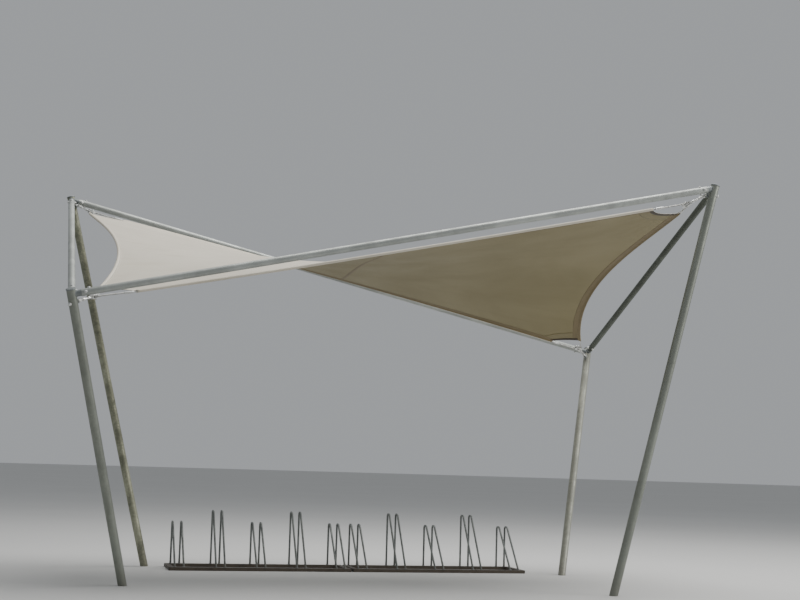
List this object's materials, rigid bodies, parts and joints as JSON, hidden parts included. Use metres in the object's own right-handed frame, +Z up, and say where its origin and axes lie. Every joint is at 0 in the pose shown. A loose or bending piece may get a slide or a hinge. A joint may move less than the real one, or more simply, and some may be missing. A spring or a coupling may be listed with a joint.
{
  "type": "bicycle shelter",
  "caption": "Open bicycle shelter: leaning steel tube posts carry a ring of tube beams with a tensioned saddle-shaped fabric roof inside it, over floor racks with wheel slots.",
  "frame": {"origin": "on the ground, under the middle of the ring of beams", "axes": "+X along the long beams, towards the high front corner; +Y from the front to the back, where the racks stand; +Z up"},
  "size_m": [4.58, 2.4846, 2.9526],
  "materials": {
    "galvanised_posts": "hot-dip galvanised, mottled",
    "galvanised_beams": "hot-dip galvanised, mottled",
    "galvanised_fittings": "hot-dip galvanised, dull",
    "bright_zinc": "bright zinc plated",
    "wire_rope": "stranded wire, bright",
    "membrane_fabric": "coated woven polyester, matt cream",
    "membrane_hem": "doubled coated fabric, welded",
    "galvanised_rack_rails": "dull and dirty",
    "galvanised_rack_hoops": "galvanised, worn"
  },
  "bodies": {
    "root": {"beam_front": "galvanised_beams", "beam_left": "galvanised_beams", "beam_rear": "galvanised_beams", "beam_right": "galvanised_beams", "beam_stubs_front_left": "galvanised_fittings", "beam_stubs_front_right": "galvanised_fittings", "beam_stubs_rear_left": "galvanised_fittings", "beam_stubs_rear_right": "galvanised_fittings", "corner_disc_front_left": "bright_zinc", "corner_disc_front_right": "bright_zinc", "corner_disc_rear_left": "bright_zinc", "corner_disc_rear_right": "bright_zinc", "edge_cable_front": "wire_rope", "edge_cable_left": "wire_rope", "edge_cable_rear": "wire_rope", "edge_cable_right": "wire_rope", "hem_front": "membrane_hem", "hem_left": "membrane_hem", "hem_rear": "membrane_hem", "hem_right": "membrane_hem", "lug_front_left": "galvanised_fittings", "lug_front_right": "galvanised_fittings", "lug_rear_left": "galvanised_fittings", "lug_rear_right": "galvanised_fittings", "membrane": "membrane_fabric", "post_cap_front_left": "galvanised_fittings", "post_cap_front_right": "galvanised_fittings", "post_cap_rear_left": "galvanised_fittings", "post_cap_rear_right": "galvanised_fittings", "post_front_left": "galvanised_posts", "post_front_right": "galvanised_posts", "post_rear_left": "galvanised_posts", "post_rear_right": "galvanised_posts", "rack_base_left": "galvanised_rack_rails", "rack_base_right": "galvanised_rack_rails", "rack_hoops_left": "galvanised_rack_hoops", "rack_hoops_right": "galvanised_rack_hoops", "turnbuckle_body_front_left": "bright_zinc", "turnbuckle_body_front_right": "bright_zinc", "turnbuckle_body_rear_left": "bright_zinc", "turnbuckle_body_rear_right": "bright_zinc", "turnbuckle_jaws_front_left": "bright_zinc", "turnbuckle_jaws_front_right": "bright_zinc", "turnbuckle_jaws_rear_left": "bright_zinc", "turnbuckle_jaws_rear_right": "bright_zinc"}
  },
  "joints": []
}
